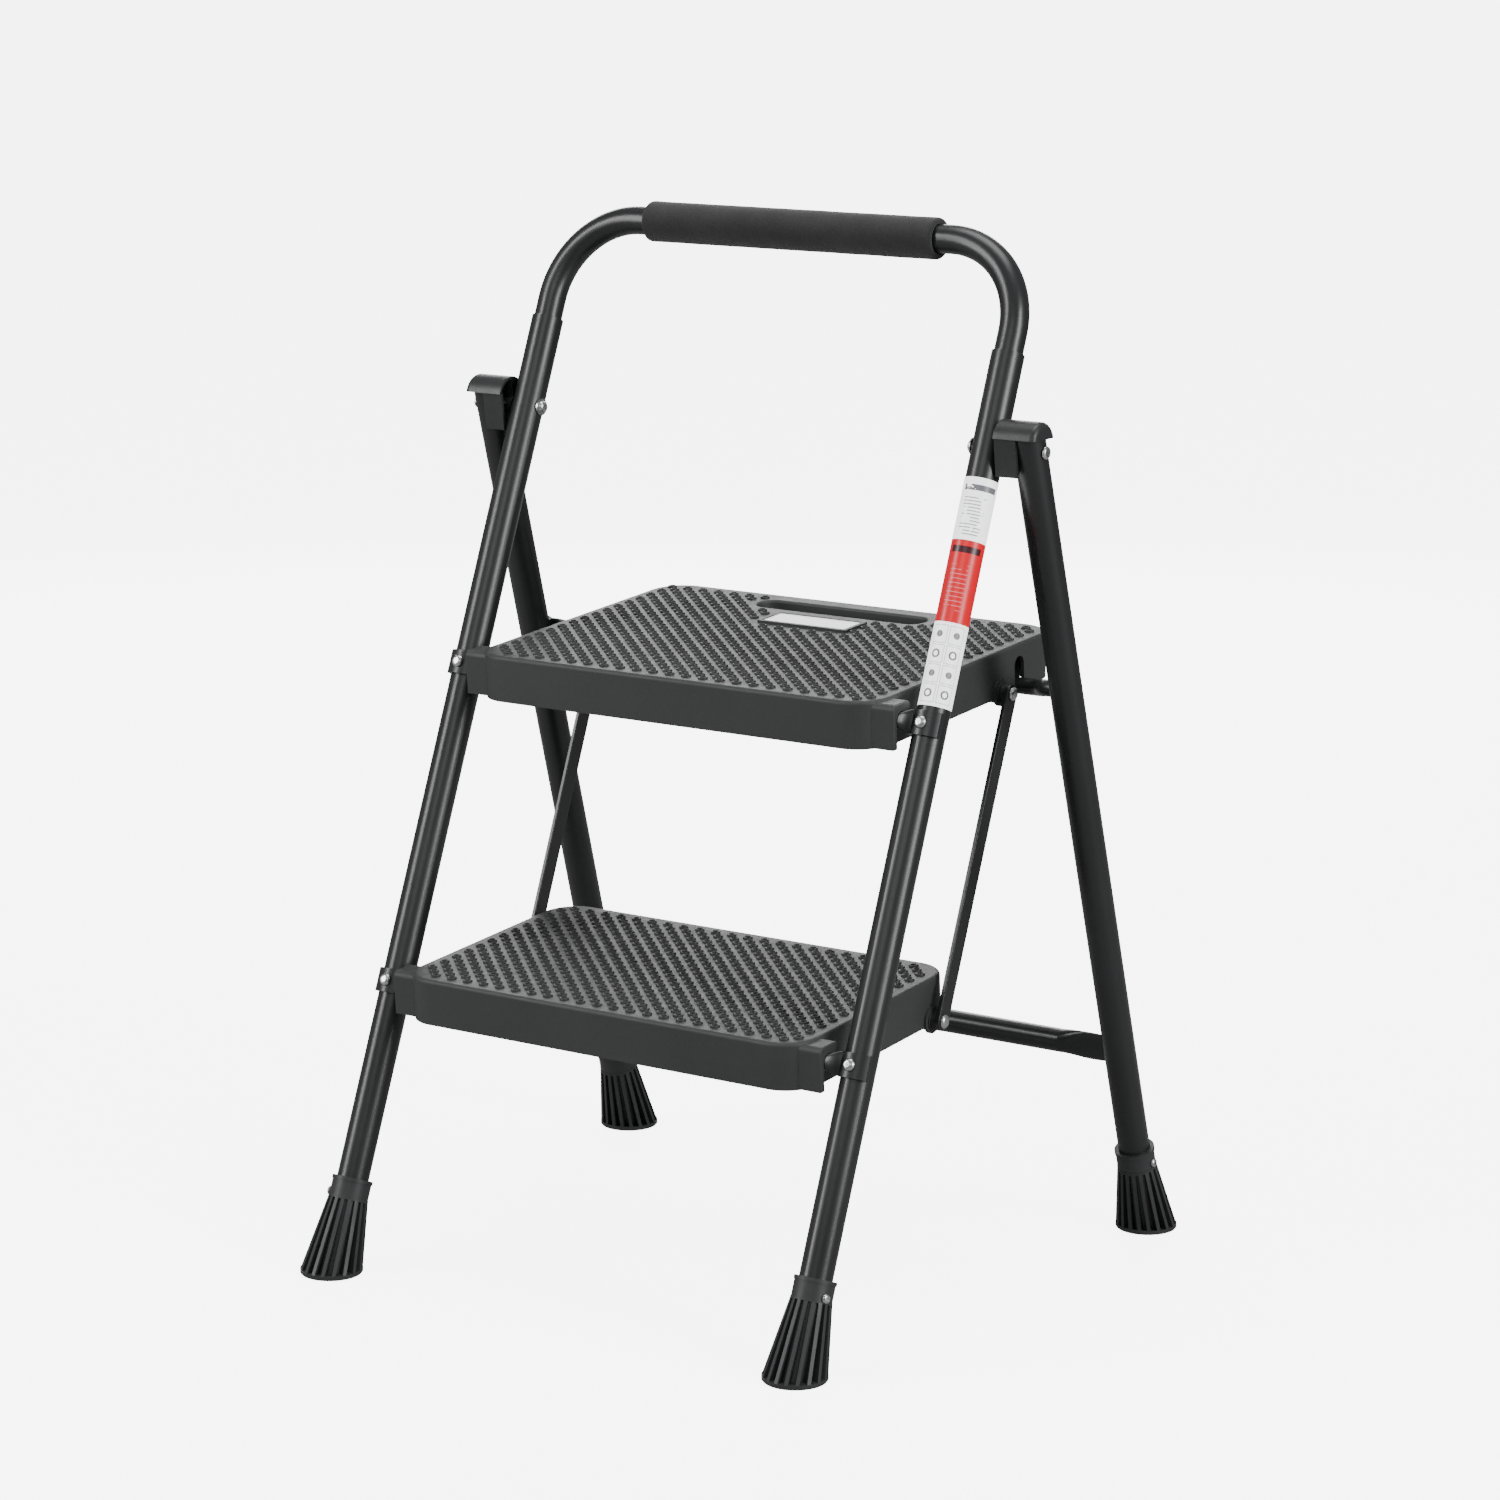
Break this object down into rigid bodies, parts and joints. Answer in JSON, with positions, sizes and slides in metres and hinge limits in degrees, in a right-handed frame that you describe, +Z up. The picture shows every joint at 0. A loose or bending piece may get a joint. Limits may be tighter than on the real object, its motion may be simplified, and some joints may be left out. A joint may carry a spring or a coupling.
{
  "type": "folding two-step step stool",
  "caption": "Folding household step stool: tubular A-frame legs, moulded treads on cross tubes, tall handle arch with a foam grip, ribbed feet and side links that fold the steps together.",
  "frame": {"origin": "on the floor, midway between the four feet", "axes": "+Z up; X across the width; the user climbs facing +Y, so -Y is the front of the stool"},
  "size_m": [0.5538, 0.4976, 0.8039],
  "materials": {
    "black_tube": "satin black powder coat",
    "grip_foam": "matt closed-cell foam",
    "foot_rubber": "satin black rubber",
    "grey_moulding": "fine matt moulded plastic, dark grey",
    "black_moulding": "satin moulded plastic, black",
    "zinc": "bright zinc plate",
    "link_steel": "satin black powder coat",
    "nylon": "matt nylon",
    "sticker": "printed film, white with a red band",
    "plate_white": "satin white plastic"
  },
  "bodies": {
    "front_frame": {"front_leg_right": "black_tube", "front_leg_left": "black_tube", "handle_arch": "black_tube", "foam_grip": "grip_foam", "front_foot_right": "foot_rubber", "front_foot_left": "foot_rubber", "front_foot_screws": "zinc", "upper_front_cross_tube": "black_tube", "lower_front_cross_tube": "black_tube", "front_rivets": "zinc", "label_sticker": "sticker", "hinge_bolts": "zinc", "hinge_washers": "zinc", "hinge_nuts": "zinc", "hinge_spacers": "nylon"},
    "rear_frame": {"rear_leg_right": "black_tube", "rear_leg_left": "black_tube", "rear_foot_right": "foot_rubber", "rear_foot_left": "foot_rubber", "rear_foot_screws": "zinc", "lower_rear_cross_tube": "black_tube", "upper_rear_cross_tube": "black_tube", "rear_rivets": "zinc", "hinge_bracket_right": "black_moulding", "hinge_bracket_left": "black_moulding"},
    "upper_step": {"upper_step": "grey_moulding", "badge_plate": "plate_white", "upper_link_pins": "zinc", "upper_link_spacers": "nylon"},
    "lower_step": {"lower_step": "grey_moulding", "lower_link_pins": "zinc", "lower_link_spacers": "nylon"},
    "links": {"link_bar_right": "link_steel", "link_bar_left": "link_steel"}
  },
  "joints": [
    {"name": "rear_frame_fold", "type": "hinge", "parent": "front_frame", "child": "rear_frame", "pos_m": [0, 0.0359, 0.6431], "axis": [-1, 0, 0], "range_deg": [0, 36]},
    {"name": "upper_step_fold", "type": "hinge", "parent": "front_frame", "child": "upper_step", "pos_m": [0, -0.05765, 0.4522], "axis": [1, 0, 0], "range_deg": [0, 58.1]},
    {"name": "lower_step_fold", "type": "hinge", "parent": "front_frame", "child": "lower_step", "pos_m": [0, -0.15345, 0.2163], "axis": [1, 0, 0], "range_deg": [0, 58.1]},
    {"name": "link_swing", "type": "hinge", "parent": "upper_step", "child": "links", "pos_m": [0, 0.1035, 0.4454], "axis": [1, 0, 0], "range_deg": [-58.1, 0]}
  ],
  "couplings": [
    {"joint": "upper_step_fold", "follows": "rear_frame_fold", "ratio": 1.611},
    {"joint": "lower_step_fold", "follows": "rear_frame_fold", "ratio": 1.611},
    {"joint": "link_swing", "follows": "rear_frame_fold", "ratio": -1.611}
  ]
}
